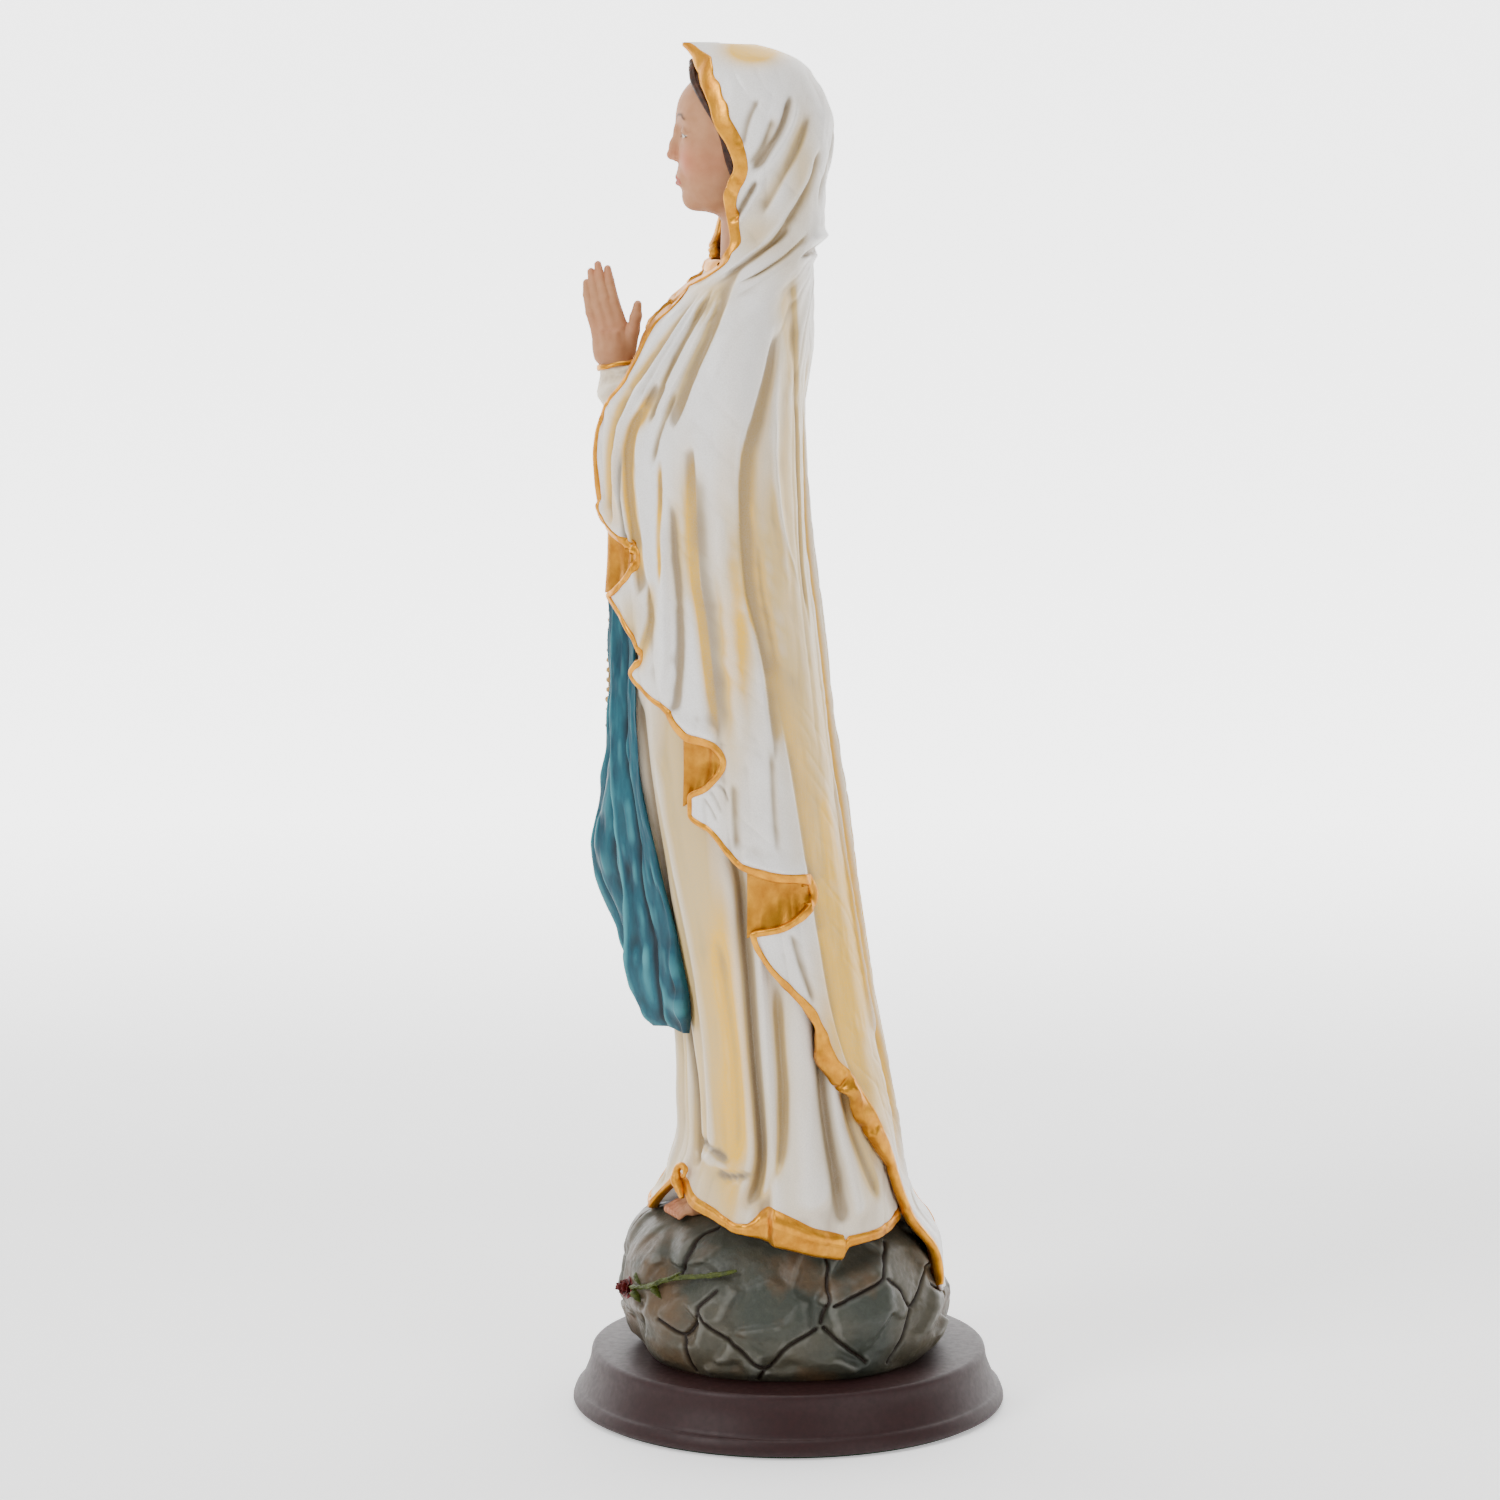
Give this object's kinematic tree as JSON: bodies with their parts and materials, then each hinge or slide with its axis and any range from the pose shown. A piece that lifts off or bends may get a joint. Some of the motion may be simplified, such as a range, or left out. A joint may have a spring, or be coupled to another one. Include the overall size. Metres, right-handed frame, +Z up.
{
  "type": "madonna statue",
  "caption": "Standing veiled madonna figure with hands joined in prayer, on a rock and a round turned wooden plinth.",
  "frame": {"origin": "centre of the felt underside of the plinth, the plane the statue stands on", "axes": "+Z up, -Y the way the figure faces, +X to the figure's left"},
  "size_m": [0.128, 0.128, 0.4],
  "materials": {
    "plinth_wood": "dark burgundy-brown stain under satin varnish",
    "felt": "green felt",
    "steel": "plain",
    "rock_paint": "grey-green paint, dark brown cracks, dry-brushed edges",
    "robe_paint": "pearl white over cream wash",
    "mantle_paint": "pearl white with yellow-ochre airbrush in the folds",
    "gilt": "gold paint, metallic",
    "gilt_lining": "gold paint with dark brown wash",
    "sash_paint": "teal, dark wash in the hollows, pale dry-brushed ridges",
    "skin_paint": "satin flesh tone",
    "hair_paint": "dark brown",
    "rose_paint": "dark red",
    "leaf_paint": "olive green",
    "bead_paint": "ivory with gold"
  },
  "bodies": {
    "root": {"plinth": "plinth_wood", "felt_pad": "felt", "plinth_screws": "steel", "rock": "rock_paint", "figure_dowel": "steel", "robe": "robe_paint", "robe_hem_trim": "gilt", "collar_trim": "gilt", "sleeve_left": "robe_paint", "sleeve_right": "robe_paint", "cuff_trim_left": "gilt", "cuff_trim_right": "gilt", "hand_left": "skin_paint", "hand_right": "skin_paint", "sash_belt": "sash_paint", "sash_tail_front": "sash_paint", "sash_tail_side": "sash_paint", "head": "skin_paint", "hair": "hair_paint", "hood": "mantle_paint", "mantle_left": "mantle_paint", "mantle_back": "mantle_paint", "mantle_right": "mantle_paint", "mantle_trim_left": "gilt", "mantle_trim_right": "gilt", "lining_left": "gilt_lining", "lining_right": "gilt_lining", "foot_left": "skin_paint", "foot_right": "skin_paint", "hem_curl_left": "gilt", "hem_curl_right": "gilt", "rose_bloom": "rose_paint", "rose_stem": "leaf_paint", "rosary_beads": "bead_paint", "rosary_cross": "gilt"}
  },
  "joints": []
}
